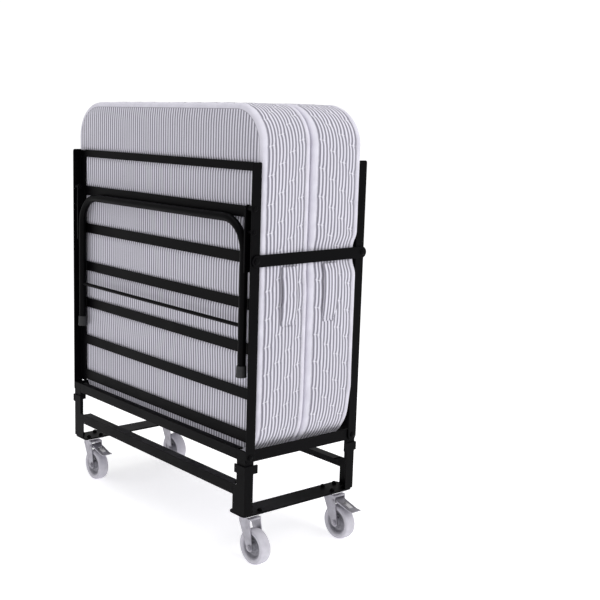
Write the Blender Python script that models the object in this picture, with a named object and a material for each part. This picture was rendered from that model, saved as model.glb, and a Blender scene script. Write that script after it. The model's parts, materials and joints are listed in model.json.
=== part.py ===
"""Rollaway folding bed, folded upright on its castored cart.

Metres, +Z up, origin on the floor at the middle of the object's box.
X runs along the 920 mm side, Y through the 410 mm folded thickness.
The cart carries two slatted decks that fold outwards about its top corners;
each deck carries a U-shaped leg and one half of the mattress.
"""

import math

import bmesh
import bpy
from mathutils import Vector

# ---------------------------------------------------------------- dimensions
HALF_X = 0.460          # outer face of the deck side rails
HALF_Y = 0.205          # outer face of the posts, folded thickness 410 mm
TOP_Z = 1.250           # top of the folded mattress
SHIFT_X = -0.028        # the wheels trail to +X, so the frame's middle lies to -X
STEEL = 0.004           # angle thickness

CART_TOP = 0.3285
PLATE_TOP = 0.145
PLATE_T = 0.005
LEG_X = 0.4555          # outer side face of the cart legs
LEG_FRONT = 0.036       # width of the leg's front flange
LEG_SIDE = 0.030
LEG_WIDE = 0.052        # front flange below the lower rail

HINGE_Y = 0.1915        # deck fold axis
HINGE_Z = 0.310
DECK_TOP = 1.1005
DECK_IN = 0.175         # mattress side of the deck
RAIL_FLANGE = 0.034
SLAT_T = 0.0035
# lower and upper edge of each cross member, bottom slat to end rail
MEMBERS = (
    ("bottom_slat", 0.341, 0.374),
    ("slat_1", 0.462, 0.492),
    ("slat_2", 0.587, 0.617),
    ("slat_3", 0.708, 0.738),
    ("slat_4", 0.832, 0.862),
    ("slat_5", 0.954, 0.984),
    ("end_rail", 1.0765, 1.0995),
)

LEG_PIVOT_Y = 0.195
LEG_PIVOT_Z = 0.981
LOCK_Z = 0.920
TUBE_R = 0.0115
TUBE_X = 0.418
BAR_Z = 0.950           # centre of the U-leg's crossbar
BEND_R = 0.085
BRACE_Z = 0.666
BRACE_R = 0.0055
FOOT_Z = 0.526
FOOT_TOP = 0.558

LATCH_Y = -0.188
LATCH_Z = 0.844
LATCH_H = 0.032

CASTER_X = 0.4205
CASTER_Y = 0.160
TRAIL = 0.032
WHEEL_R = 0.050
TYRE_W = 0.034
FORK_TOP = 0.1296

MATTRESS_X = 0.449
MATTRESS_LOW = 0.3245
MATTRESS_OUT = 0.171
MATTRESS_IN = 0.0015
MATTRESS_CORNER = 0.110

GAP = 0.0003

# ---------------------------------------------------------------- clear scene
for old in list(bpy.data.objects):
    bpy.data.objects.remove(old, do_unlink=True)


def material(name, colour, rough, metal):
    mat = bpy.data.materials.new(name)
    mat.use_nodes = True
    shader = mat.node_tree.nodes["Principled BSDF"]
    shader.inputs["Base Color"].default_value = (*colour, 1.0)
    shader.inputs["Roughness"].default_value = rough
    shader.inputs["Metallic"].default_value = metal
    mat.diffuse_color = (*colour, 1.0)
    return mat


LOOK = {
    "black": ((0.012, 0.012, 0.014), 0.45, 0.0),
    "zinc": ((0.56, 0.56, 0.58), 0.35, 1.0),
    "bright": ((0.75, 0.75, 0.76), 0.22, 1.0),
    "hub": ((0.36, 0.36, 0.38), 0.45, 0.0),
    "tyre": ((0.56, 0.55, 0.59), 0.6, 0.0),
    "rubber": ((0.02, 0.02, 0.022), 0.75, 0.0),
    "ticking": ((0.72, 0.71, 0.77), 0.9, 0.0),
}


# ---------------------------------------------------------------- mesh helpers
def prism(outline, axis, low, high):
    """A closed outline pushed along an axis. The outline is in the other two axes, in X, Y, Z order."""
    def place(p, t):
        p = list(p)
        p.insert("xyz".index(axis), t)
        return tuple(p)

    n = len(outline)
    verts = [place(p, low) for p in outline] + [place(p, high) for p in outline]
    faces = [list(range(n)), list(range(2 * n - 1, n - 1, -1))]
    faces += [[i, (i + 1) % n, n + (i + 1) % n, n + i] for i in range(n)]
    return verts, faces


def box(x0, x1, y0, y1, z0, z1):
    return prism([(x0, y0), (x1, y0), (x1, y1), (x0, y1)], "z", z0, z1)


def circle(cx, cy, r, n, turn=0.0):
    return [
        (cx + r * math.cos(turn + 2 * math.pi * i / n), cy + r * math.sin(turn + 2 * math.pi * i / n))
        for i in range(n)
    ]


def arc(cx, cy, r, a0, a1, n):
    """Points from angle a0 to a1 in degrees."""
    return [
        (
            cx + r * math.cos(math.radians(a0 + (a1 - a0) * i / n)),
            cy + r * math.sin(math.radians(a0 + (a1 - a0) * i / n)),
        )
        for i in range(n + 1)
    ]


def rounded(x0, x1, y0, y1, r, n=3):
    return (
        arc(x1 - r, y1 - r, r, 0, 90, n)
        + arc(x0 + r, y1 - r, r, 90, 180, n)
        + arc(x0 + r, y0 + r, r, 180, 270, n)
        + arc(x1 - r, y0 + r, r, 270, 360, n)
    )


def rod(axis, a, b, r, low, high, n=12, turn=0.0):
    return prism(circle(a, b, r, n, turn), axis, low, high)


def turned(profile, axis, centre, n):
    """A closed profile of (radius, along) turned about an axis through centre."""
    k = "xyz".index(axis)
    u, v = [i for i in range(3) if i != k]
    m = len(profile)
    verts, faces = [], []
    for i in range(n):
        t = 2 * math.pi * i / n
        for r, h in profile:
            p = list(centre)
            p[u] += r * math.cos(t)
            p[v] += r * math.sin(t)
            p[k] += h
            verts.append(tuple(p))
    for i in range(n):
        j = (i + 1) % n
        for s in range(m):
            e = (s + 1) % m
            faces.append([i * m + s, i * m + e, j * m + e, j * m + s])
    return verts, faces


def dome(profile, axis, centre, n):
    """A profile whose first and last points lie on the axis."""
    k = "xyz".index(axis)
    u, v = [i for i in range(3) if i != k]
    verts, faces = [], []

    def at(r, h, t):
        p = list(centre)
        p[u] += r * math.cos(t)
        p[v] += r * math.sin(t)
        p[k] += h
        return tuple(p)

    verts.append(at(*profile[0], 0))
    verts.append(at(*profile[-1], 0))
    rings = []
    for r, h in profile[1:-1]:
        rings.append(len(verts))
        verts += [at(r, h, 2 * math.pi * i / n) for i in range(n)]
    for i in range(n):
        j = (i + 1) % n
        faces.append([0, rings[0] + i, rings[0] + j])
        faces.append([1, rings[-1] + j, rings[-1] + i])
        for a, b in zip(rings, rings[1:]):
            faces.append([a + i, b + i, b + j, a + j])
    return verts, faces


def tube(points, r, n):
    """A round tube swept along points that lie in one XZ plane."""
    verts, faces = [], []
    pts = [Vector(p) for p in points]
    side = Vector((0, 1, 0))
    for i, p in enumerate(pts):
        before = (p - pts[i - 1]).normalized() if i else None
        after = (pts[i + 1] - p).normalized() if i + 1 < len(pts) else None
        along = ((before or after) + (after or before)).normalized()
        across = side.cross(along).normalized()
        for j in range(n):
            t = 2 * math.pi * j / n
            verts.append(tuple(p + side * r * math.cos(t) + across * r * math.sin(t)))
    for i in range(len(pts) - 1):
        for j in range(n):
            k = (j + 1) % n
            faces.append([i * n + j, i * n + k, (i + 1) * n + k, (i + 1) * n + j])
    last = (len(pts) - 1) * n
    faces.append(list(range(n)))
    faces.append(list(range(last + n - 1, last - 1, -1)))
    return verts, faces


def mesh_of(name, shape, sx, sy, origin):
    verts, faces = shape
    mesh = bpy.data.meshes.new(name)
    placed = [
        (sx * x + SHIFT_X - origin[0], sy * y - origin[1], z - origin[2]) for x, y, z in verts
    ]
    mesh.from_pydata(placed, [], faces)
    bm = bmesh.new()
    bm.from_mesh(mesh)
    bmesh.ops.recalc_face_normals(bm, faces=bm.faces)
    bm.to_mesh(mesh)
    bm.free()
    return mesh


def holder(name, x, y, z):
    """An empty on a joint's axis; x is in the frame's own coordinates."""
    empty = bpy.data.objects.new(name, None)
    empty.location = (x + SHIFT_X, y, z)
    bpy.context.scene.collection.objects.link(empty)
    return empty


def piece(name, shapes, look, sx=1, sy=1, cuts=(), origin=None, parent=None, smooth=False):
    """One solid: the union of shapes less the cuts, mirrored by sx and sy."""
    at = tuple(parent.location) if parent and origin is None else (origin or (0.0, 0.0, 0.0))
    obj = bpy.data.objects.new(name, mesh_of(name, shapes[0], sx, sy, at))
    obj.location = at
    bpy.context.scene.collection.objects.link(obj)
    tools = []
    for kind, group in (("UNION", shapes[1:]), ("DIFFERENCE", cuts)):
        for i, shape in enumerate(group):
            tool = bpy.data.objects.new(f"{name}_{kind.lower()}_{i}", mesh_of("tool", shape, sx, sy, at))
            tool.location = at
            bpy.context.scene.collection.objects.link(tool)
            mod = obj.modifiers.new(f"{kind.title()} {i}", "BOOLEAN")
            mod.operation = kind
            mod.solver = "EXACT"
            mod.object = tool
            tools.append(tool)
    if tools:
        bpy.context.view_layer.update()
        graph = bpy.context.evaluated_depsgraph_get()
        solid = bpy.data.meshes.new_from_object(obj.evaluated_get(graph))
        obj.modifiers.clear()
        obj.data = solid
        solid.name = name
        for tool in tools:
            bpy.data.objects.remove(tool, do_unlink=True)
    key = f"{name}_finish"
    obj.data.materials.clear()
    obj.data.materials.append(material(key, *LOOK[look]))
    if smooth:
        obj.data.shade_smooth()
        obj.data.set_sharp_from_angle(angle=math.radians(35))
    if parent:
        obj.parent = parent
        obj.location = (0.0, 0.0, 0.0)
    return obj


CORNERS = {
    "front_left": (-1, -1),
    "front_right": (1, -1),
    "rear_left": (-1, 1),
    "rear_right": (1, 1),
}

# ---------------------------------------------------------------- cart
for where, (sx, sy) in CORNERS.items():
    angle = prism(
        [
            (LEG_X, HALF_Y),
            (LEG_X - LEG_FRONT, HALF_Y),
            (LEG_X - LEG_FRONT, HALF_Y - STEEL),
            (LEG_X - STEEL, HALF_Y - STEEL),
            (LEG_X - STEEL, HALF_Y - LEG_SIDE),
            (LEG_X, HALF_Y - LEG_SIDE),
        ],
        "z",
        PLATE_TOP + GAP,
        CART_TOP - 0.0002,
    )
    gusset = box(LEG_X - LEG_WIDE, LEG_X - 0.02, HALF_Y - STEEL, HALF_Y, PLATE_TOP + GAP, 0.2258)
    collar = prism(
        [
            (LEG_X + 0.0037, HALF_Y + 0.0038),
            (LEG_X - LEG_FRONT - 0.006, HALF_Y + 0.0038),
            (LEG_X - LEG_FRONT - 0.006, HALF_Y - 0.0005),
            (LEG_X - 0.0005, HALF_Y - 0.0005),
            (LEG_X - 0.0005, HALF_Y - LEG_SIDE - 0.012),
            (LEG_X + 0.0037, HALF_Y - LEG_SIDE - 0.012),
        ],
        "z",
        0.262,
        0.286,
    )
    pin = rod("x", HINGE_Y, HINGE_Z, 0.0040, LEG_X - 0.003, HALF_X + 0.003, 12)
    head = dome(
        [(0, 0), (0.0080, 0), (0.0080, 0.0015), (0.0055, 0.0036), (0, 0.0042)],
        "x",
        (HALF_X + GAP, HINGE_Y, HINGE_Z),
        12,
    )
    piece(f"cart_leg_{where}", [angle, gusset, collar, pin, head], "black", sx, sy)

for side, sy in (("front", -1), ("rear", 1)):
    end = LEG_X - LEG_FRONT - GAP
    piece(
        f"cart_top_rail_{side}",
        [
            prism(
                [
                    (HALF_Y, CART_TOP),
                    (HALF_Y - 0.0216, CART_TOP),
                    (HALF_Y - 0.0216, CART_TOP - STEEL),
                    (HALF_Y - STEEL, CART_TOP - STEEL),
                    (HALF_Y - STEEL, CART_TOP - 0.030),
                    (HALF_Y, CART_TOP - 0.030),
                ],
                "x",
                -end,
                end,
            )
        ],
        "black",
        1,
        sy,
    )
    end = LEG_X - LEG_WIDE - GAP
    piece(
        f"cart_lower_rail_{side}",
        [
            prism(
                [
                    (HALF_Y, 0.2255),
                    (HALF_Y - 0.030, 0.2255),
                    (HALF_Y - 0.030, 0.2255 - STEEL),
                    (HALF_Y - STEEL, 0.2255 - STEEL),
                    (HALF_Y - STEEL, 0.195),
                    (HALF_Y, 0.195),
                ],
                "x",
                -end,
                end,
            )
        ],
        "black",
        1,
        sy,
    )

BOLTS = [(CASTER_X + dx, s * (CASTER_Y + dy)) for s in (-1, 1) for dx in (-0.02, 0.02) for dy in (-0.023, 0.023)]
for side, sx in (("left", -1), ("right", 1)):
    end = HALF_Y - LEG_SIDE - GAP
    piece(
        f"cart_short_rail_{side}",
        [
            prism(
                [
                    (LEG_X, CART_TOP),
                    (LEG_X - STEEL, CART_TOP),
                    (LEG_X - STEEL, CART_TOP - 0.033 + STEEL),
                    (LEG_X - 0.030, CART_TOP - 0.033 + STEEL),
                    (LEG_X - 0.030, CART_TOP - 0.033),
                    (LEG_X, CART_TOP - 0.033),
                ],
                "y",
                -end,
                end,
            )
        ],
        "black",
        sx,
        1,
    )
    piece(
        f"base_plate_{side}",
        [prism(rounded(LEG_X - 0.070, LEG_X, -HALF_Y, HALF_Y, 0.012), "z", PLATE_TOP - PLATE_T, PLATE_TOP)],
        "black",
        sx,
        1,
        cuts=[rod("z", x, y, 0.0047, PLATE_TOP - 0.02, PLATE_TOP + 0.02, 8) for x, y in BOLTS],
    )

# ---------------------------------------------------------------- casters
# Each swivels about Z; every wheel trails to +X. Two have a brake pedal.
for where, (sx, sy) in CORNERS.items():
    cx, cy = sx * CASTER_X, sy * CASTER_Y
    plate = prism(
        rounded(cx - 0.031, cx + 0.031, cy - 0.033, cy + 0.033, 0.005, 2), "z", 0.1367, PLATE_TOP - PLATE_T - GAP
    )
    race = dome(
        [(0, 0.0072), (0.0225, 0.0072), (0.0245, 0.0050), (0.0215, 0.0), (0, 0.0)], "z", (cx, cy, 0.1300), 20
    )
    shapes = [plate, race]
    for dx in (-0.02, 0.02):
        for dy in (-0.023, 0.023):
            shapes.append(rod("z", cx + dx, cy + dy, 0.0040, 0.1380, 0.1525, 8))
            shapes.append(rod("z", cx + dx, cy + dy, 0.0072, PLATE_TOP + GAP, 0.1502, 6, 0.3))
    piece(f"caster_plate_{where}", shapes, "zinc")

    braked = where in ("front_left", "rear_right")
    ax = cx + TRAIL
    swivel = holder(f"swivel_axis_{where}", cx, cy, FORK_TOP)
    crown = prism(
        arc(cx, cy, 0.0260, 126, 234, 6) + [(cx + 0.030, cy - 0.0212), (cx + 0.030, cy + 0.0212)],
        "z",
        FORK_TOP - 0.0045,
        FORK_TOP,
    )
    cheek_outline = (
        [(cx - 0.0145, FORK_TOP - 0.0005), (cx - 0.0150, FORK_TOP - 0.014)]
        + arc(ax, WHEEL_R, 0.0130, 190, 340, 6)
        + [(ax + 0.0040, WHEEL_R + 0.040), (cx + 0.030, FORK_TOP - 0.012), (cx + 0.030, FORK_TOP - 0.0005)]
    )
    cheeks = [
        prism(cheek_outline, "y", cy + 0.0182, cy + 0.0212),
        prism(cheek_outline, "y", cy - 0.0212, cy - 0.0182),
    ]
    axle = rod("y", ax, WHEEL_R, 0.0046, cy - 0.0275, cy + 0.0262, 12)
    axle_head = rod("y", ax, WHEEL_R, 0.0085, cy - 0.0262, cy - 0.0208, 6, 0.2)
    axle_nut = rod("y", ax, WHEEL_R, 0.0085, cy + 0.0208, cy + 0.0262, 6, 0.5)
    PIN_X, PIN_Z = cx + 0.024, 0.1150
    cuts = [rod("y", PIN_X, PIN_Z, 0.0034, cy - 0.03, cy + 0.03, 10)] if braked else []
    piece(f"caster_fork_{where}", [crown, *cheeks, axle, axle_head, axle_nut], "zinc", cuts=cuts, parent=swivel)

    spin = holder(f"wheel_axis_{where}", ax, cy, WHEEL_R)
    half = TYRE_W / 2
    tyre = [
        (0.0348, -0.0130),
        (0.0400, -half),
        (0.0455, -half),
        (0.0488, -half + 0.0042),
        (WHEEL_R, -half + 0.0085),
        (WHEEL_R, half - 0.0085),
        (0.0488, half - 0.0042),
        (0.0455, half),
        (0.0400, half),
        (0.0348, 0.0130),
    ]
    piece(f"tyre_{where}", [turned(tyre, "y", (ax, cy, WHEEL_R), 28)], "tyre", parent=spin, smooth=True)
    hub = [
        (0.0052, -0.0168),
        (0.0115, -0.0168),
        (0.0130, -0.0070),
        (0.0285, -0.0055),
        (0.0315, -0.0122),
        (0.0345, -0.0125),
        (0.0345, 0.0125),
        (0.0315, 0.0122),
        (0.0285, 0.0055),
        (0.0130, 0.0070),
        (0.0115, 0.0168),
        (0.0052, 0.0168),
    ]
    piece(f"wheel_hub_{where}", [turned(hub, "y", (ax, cy, WHEEL_R), 20)], "hub", parent=spin, smooth=True)

    if braked:
        foot_axis = holder(f"pedal_axis_{where}", PIN_X, cy, PIN_Z)
        blade = prism(
            [
                (PIN_X - 0.005, PIN_Z - 0.0045),
                (PIN_X + 0.004, PIN_Z - 0.0058),
                (PIN_X + 0.020, PIN_Z - 0.0068),
                (cx + 0.084, 0.0995),
                (cx + 0.100, 0.0990),
                (cx + 0.100, 0.1014),
                (cx + 0.0845, 0.1020),
                (cx + 0.040, 0.1150),
                (PIN_X + 0.004, PIN_Z + 0.0050),
                (PIN_X - 0.005, PIN_Z + 0.0040),
            ],
            "y",
            cy - 0.0172,
            cy + 0.0172,
        )
        pin = rod("y", PIN_X, PIN_Z, 0.0030, cy - 0.0225, cy + 0.0225, 10)
        piece(f"brake_pedal_{where}", [blade, pin], "zinc", parent=foot_axis)

# ---------------------------------------------------------------- decks
for side, sy in (("front", -1), ("rear", 1)):
    fold = holder(f"{side}_deck_axis", 0, sy * HINGE_Y, HINGE_Z)
    for hand, sx in (("left", -1), ("right", 1)):
        web = prism(
            [(HALF_Y, DECK_TOP - 0.006)]
            + arc(HALF_Y - 0.006, DECK_TOP - 0.006, 0.006, 30, 90, 2)
            + arc(DECK_IN + 0.003, DECK_TOP - 0.003, 0.003, 90, 180, 2)
            + arc(0.190, 0.3085, 0.0150, 180, 360, 10),
            "x",
            HALF_X - STEEL,
            HALF_X,
        )
        flange = box(HALF_X - RAIL_FLANGE, HALF_X - 0.0010, DECK_IN, DECK_IN + STEEL, CART_TOP + 0.0050, DECK_TOP - 0.003)
        # the rear right post has flat rivet heads, so that the latch bar passes over them
        flat = side == "rear" and hand == "right"
        pivot = rod("x", LEG_PIVOT_Y, LEG_PIVOT_Z, 0.0040, 0.4275, HALF_X + (0.0002 if flat else 0.003), 12)
        sleeve = rod("x", LEG_PIVOT_Y, LEG_PIVOT_Z, 0.0070, 0.4350, HALF_X - 0.003, 12)
        pivot_nut = rod("x", LEG_PIVOT_Y, LEG_PIVOT_Z, 0.0075, 0.4240, 0.4287, 6, 0.2)
        pivot_head = dome(
            [(0, -0.001), (0.0078, -0.001), (0.0078, 0.0002), (0.0055, 0.0004), (0, 0.0005)]
            if flat
            else [(0, -0.001), (0.0078, -0.001), (0.0078, 0.0015), (0.0055, 0.0036), (0, 0.0042)],
            "x",
            (HALF_X, LEG_PIVOT_Y, LEG_PIVOT_Z),
            12,
        )
        lock = rod("x", LEG_PIVOT_Y, LOCK_Z, 0.0040, 0.4350, HALF_X - 0.003, 12)
        lock_head = dome(
            [(0, -0.001), (0.0070, -0.001), (0.0070, 0.0002), (0.0050, 0.0004), (0, 0.0005)]
            if flat
            else [(0, -0.001), (0.0070, -0.001), (0.0070, 0.0015), (0.0050, 0.0034), (0, 0.0040)],
            "x",
            (HALF_X, LEG_PIVOT_Y, LOCK_Z),
            12,
        )
        shapes = [web, flange, sleeve, pivot, pivot_nut, pivot_head, lock, lock_head]
        if side == "front" and hand == "right":
            shapes.append(rod("x", -LATCH_Y, LATCH_Z, 0.0040, HALF_X - 0.003, 0.4680, 12))
            shapes.append(
                dome(
                    [(0, 0), (0.0088, 0), (0.0088, 0.0016), (0.0060, 0.0040), (0, 0.0047)],
                    "x",
                    (0.4652, -LATCH_Y, LATCH_Z),
                    12,
                )
            )
        piece(
            f"{side}_side_rail_{hand}",
            shapes,
            "black",
            sx,
            sy,
            cuts=[rod("x", HINGE_Y, HINGE_Z, 0.0044, HALF_X - 0.01, HALF_X + 0.01, 12)],
            parent=fold,
        )
    reach = HALF_X - RAIL_FLANGE - GAP
    for label, low, high in MEMBERS:
        piece(
            f"{side}_{label}",
            [box(-reach, reach, DECK_IN + STEEL - SLAT_T, DECK_IN + STEEL, low, high)],
            "black",
            1,
            sy,
            parent=fold,
        )

# ---------------------------------------------------------------- U-legs
for side, sy in (("front", -1), ("rear", 1)):
    swing = holder(f"{side}_leg_axis", 0, sy * LEG_PIVOT_Y, LEG_PIVOT_Z)
    bend_x, bend_z = TUBE_X - BEND_R, BAR_Z - BEND_R
    right = [(TUBE_X, FOOT_Z + 0.0060)] + [(TUBE_X, z) for z in (0.64, 0.76)] + arc(bend_x, bend_z, BEND_R, 0, 90, 8)
    path = right + [(0.12, BAR_Z), (-0.12, BAR_Z)] + [(-x, z) for x, z in reversed(right)]
    bow = tube([(x, LEG_PIVOT_Y, z) for x, z in path], TUBE_R, 12)
    brace = rod("x", LEG_PIVOT_Y, BRACE_Z, BRACE_R, -TUBE_X, TUBE_X, 10)
    shapes = [bow, brace]
    cuts = []
    for s in (1, -1):
        strap = prism(
            [(LEG_PIVOT_Y - 0.0105, 0.812), (LEG_PIVOT_Y + 0.0105, 0.812)]
            + [(LEG_PIVOT_Y + 0.0110, 0.925)]
            + arc(LEG_PIVOT_Y, LEG_PIVOT_Z, 0.0098, 0, 180, 8)
            + [(LEG_PIVOT_Y - 0.0110, 0.925)],
            "x",
            *sorted((s * 0.4290, s * (0.4350 - GAP))),
        )
        button = rod("x", LEG_PIVOT_Y, LOCK_Z, 0.0062, *sorted((s * 0.4262, s * 0.4300)), 6)
        shapes += [strap, button]
        cuts.append(rod("x", LEG_PIVOT_Y, LEG_PIVOT_Z, 0.0044, *sorted((s * 0.42, s * 0.44)), 12))
    piece(f"{side}_u_leg", shapes, "black", 1, sy, cuts=cuts, parent=swing)
    for hand, sx in (("left", -1), ("right", 1)):
        cup = [
            (0, 0.0),
            (0.0145, 0.0),
            (0.0153, 0.0022),
            (0.0150, 0.0050),
            (0.0143, 0.0085),
            (0.0140, FOOT_TOP - FOOT_Z - 0.0012),
            (0.0132, FOOT_TOP - FOOT_Z),
            (TUBE_R + GAP, FOOT_TOP - FOOT_Z),
            (TUBE_R + GAP, 0.0057),
            (0, 0.0057),
        ]
        piece(
            f"{side}_foot_cap_{hand}",
            [dome(cup, "z", (TUBE_X, LEG_PIVOT_Y, FOOT_Z), 16)],
            "rubber",
            sx,
            sy,
            parent=swing,
            smooth=True,
        )

# ---------------------------------------------------------------- latch bar
latch = holder("latch_axis", HALF_X, LATCH_Y, LATCH_Z)
h = LATCH_H / 2
piece(
    "latch_bar",
    [
        prism(
            arc(LATCH_Y + 0.001, LATCH_Z, h, 90, 270, 8) + arc(0.1955, LATCH_Z, h, 270, 450, 8),
            "x",
            HALF_X + 0.0008,
            HALF_X + 0.0048,
        ),
        dome(
            [(0, -0.001), (0.0085, -0.001), (0.0085, 0.0016), (0.0060, 0.0040), (0, 0.0046)],
            "x",
            (HALF_X + 0.0048, 0.1960, LATCH_Z),
            12,
        ),
    ],
    "black",
    cuts=[rod("x", LATCH_Y, LATCH_Z, 0.0044, HALF_X - 0.01, HALF_X + 0.01, 12)],
    parent=latch,
)

# ---------------------------------------------------------------- mattress halves
for side, sy in (("front", -1), ("rear", 1)):
    slide = holder(f"{side}_mattress_slide", 0, sy * MATTRESS_OUT, MATTRESS_LOW)
    outline = rounded(-MATTRESS_X, MATTRESS_X, MATTRESS_LOW, TOP_Z, MATTRESS_CORNER, 8)
    n = len(outline)
    mx, mz = 0.0, (MATTRESS_LOW + TOP_Z) / 2

    def ring(inset, y):
        hx, hz = MATTRESS_X, (TOP_Z - MATTRESS_LOW) / 2
        return [
            (mx + (x - mx) * (hx - inset) / hx, y, mz + (z - mz) * (hz - inset) / hz) for x, z in outline
        ]

    rows = [
        ring(0.010, MATTRESS_IN),
        ring(0.0025, MATTRESS_IN + 0.003),
        ring(0.0, MATTRESS_IN + 0.010),
        ring(0.0, MATTRESS_OUT - 0.010),
        ring(0.0025, MATTRESS_OUT - 0.003),
        ring(0.010, MATTRESS_OUT),
    ]
    verts = [p for row in rows for p in row]
    faces = [list(range(n)), list(range(6 * n - 1, 5 * n - 1, -1))]
    for r in range(5):
        faces += [[r * n + i, r * n + (i + 1) % n, (r + 1) * n + (i + 1) % n, (r + 1) * n + i] for i in range(n)]
    piece(f"{side}_mattress", [(verts, faces)], "ticking", 1, sy, parent=slide, smooth=True)

bpy.context.view_layer.update()
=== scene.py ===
import json
import math

import bmesh
import bpy
import numpy as np
from mathutils import Matrix, Vector

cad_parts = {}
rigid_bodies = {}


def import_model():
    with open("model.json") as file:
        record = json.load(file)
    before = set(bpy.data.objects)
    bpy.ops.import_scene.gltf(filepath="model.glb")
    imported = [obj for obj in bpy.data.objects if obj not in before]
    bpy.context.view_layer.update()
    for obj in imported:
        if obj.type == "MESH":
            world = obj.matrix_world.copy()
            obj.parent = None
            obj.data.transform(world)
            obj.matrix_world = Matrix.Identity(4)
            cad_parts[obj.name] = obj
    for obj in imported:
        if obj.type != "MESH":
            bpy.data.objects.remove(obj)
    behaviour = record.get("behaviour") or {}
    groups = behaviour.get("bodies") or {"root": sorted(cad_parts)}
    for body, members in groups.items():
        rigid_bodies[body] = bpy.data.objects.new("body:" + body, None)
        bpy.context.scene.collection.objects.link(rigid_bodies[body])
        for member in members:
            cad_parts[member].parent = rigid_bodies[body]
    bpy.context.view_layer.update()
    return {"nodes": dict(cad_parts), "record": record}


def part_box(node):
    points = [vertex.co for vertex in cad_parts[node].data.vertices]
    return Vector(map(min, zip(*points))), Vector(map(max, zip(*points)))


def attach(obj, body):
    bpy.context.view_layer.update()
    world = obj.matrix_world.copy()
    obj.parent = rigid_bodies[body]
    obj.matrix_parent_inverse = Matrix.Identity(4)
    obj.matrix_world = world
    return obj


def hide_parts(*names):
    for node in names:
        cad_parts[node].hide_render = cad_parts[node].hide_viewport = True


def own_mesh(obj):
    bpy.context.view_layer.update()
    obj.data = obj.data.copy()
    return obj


# ------------------------------------------------------------------ clear, load
for old in list(bpy.data.objects):
    bpy.data.objects.remove(old, do_unlink=True)

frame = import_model()
body_of = {n: b for b, ns in frame["record"]["behaviour"]["bodies"].items() for n in ns}
slot_of = {s["node"]: s["material_slot"] for s in frame["record"]["subparts"]}
rng = np.random.default_rng(7)

# the frame's own middle in X: the casters trail to one side, so it isn't at zero
left_lo, left_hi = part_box("base_plate_left")
right_lo, right_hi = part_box("base_plate_right")
CX = (left_lo.x + right_hi.x) / 2


def link(obj):
    bpy.context.scene.collection.objects.link(obj)
    return obj


# ------------------------------------------------------------------ materials
class Nodes:
    """A small helper that writes a node tree in code."""

    def __init__(self, name):
        self.mat = bpy.data.materials.new(name)
        self.mat.use_nodes = True
        self.tree = self.mat.node_tree
        self.shader = self.tree.nodes["Principled BSDF"]

    def node(self, kind, **settings):
        n = self.tree.nodes.new(kind)
        for k, v in settings.items():
            setattr(n, k, v)
        return n

    def link(self, a, b):
        self.tree.links.new(a, b)

    def math(self, op, a, b=None, c=None):
        n = self.node("ShaderNodeMath", operation=op)
        for i, x in enumerate((a, b, c)):
            if x is None:
                continue
            if isinstance(x, (int, float)):
                n.inputs[i].default_value = x
            else:
                self.link(x, n.inputs[i])
        return n.outputs[0]

    def noise(self, scale, detail=3.0, rough=0.5, coords=None):
        n = self.node("ShaderNodeTexNoise")
        n.inputs["Scale"].default_value = scale
        n.inputs["Detail"].default_value = detail
        n.inputs["Roughness"].default_value = rough
        self.link(coords or self.coords(), n.inputs["Vector"])
        return n.outputs["Fac"]

    def coords(self):
        return self.node("ShaderNodeTexCoord").outputs["Object"]

    def uv(self, layer="cloth"):
        n = self.node("ShaderNodeUVMap", uv_map=layer)
        s = self.node("ShaderNodeSeparateXYZ")
        self.link(n.outputs["UV"], s.inputs[0])
        return s.outputs[0], s.outputs[1]

    def span(self, x, low, high, out_low, out_high):
        n = self.node("ShaderNodeMapRange", clamp=True)
        self.link(x, n.inputs["Value"])
        for i, v in zip(("From Min", "From Max", "To Min", "To Max"), (low, high, out_low, out_high)):
            n.inputs[i].default_value = v
        return n.outputs["Result"]

    def mix(self, fac, a, b):
        n = self.node("ShaderNodeMix", data_type="RGBA")
        if isinstance(fac, (int, float)):
            n.inputs["Factor"].default_value = fac
        else:
            self.link(fac, n.inputs["Factor"])
        for sock, v in ((n.inputs[6], a), (n.inputs[7], b)):
            if isinstance(v, tuple):
                sock.default_value = (*v, 1.0)
            else:
                self.link(v, sock)
        return n.outputs[2]

    def bump(self, height, strength, distance, normal=None):
        n = self.node("ShaderNodeBump")
        n.inputs["Strength"].default_value = strength
        n.inputs["Distance"].default_value = distance
        self.link(height, n.inputs["Height"])
        if normal is not None:
            self.link(normal, n.inputs["Normal"])
        return n.outputs["Normal"]

    def set(self, **values):
        for k, v in values.items():
            sock = self.shader.inputs[k.replace("_", " ")]
            if isinstance(v, tuple):
                sock.default_value = (*v, 1.0)
            elif isinstance(v, (int, float)):
                sock.default_value = v
            else:
                self.link(v, sock)
        return self


def powder_coat():
    n = Nodes("black_powder_coat")
    grain = n.noise(900.0, 2.0)
    cloud = n.noise(9.0, 4.0)
    scuff = n.noise(60.0, 6.0, 0.7)
    worn = n.span(scuff, 0.63, 0.78, 0.0, 1.0)
    colour = n.mix(n.span(cloud, 0.35, 0.7, 0.0, 1.0), (0.0010, 0.0009, 0.0013), (0.0020, 0.0018, 0.0024))
    colour = n.mix(n.math("MULTIPLY", worn, 0.30), colour, (0.020, 0.019, 0.022))
    rough = n.span(cloud, 0.3, 0.75, 0.36, 0.50)
    n.set(Base_Color=colour, Roughness=rough, Normal=n.bump(grain, 0.18, 0.0004))
    n.shader.inputs["Specular IOR Level"].default_value = 0.045
    return n.mat


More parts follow.
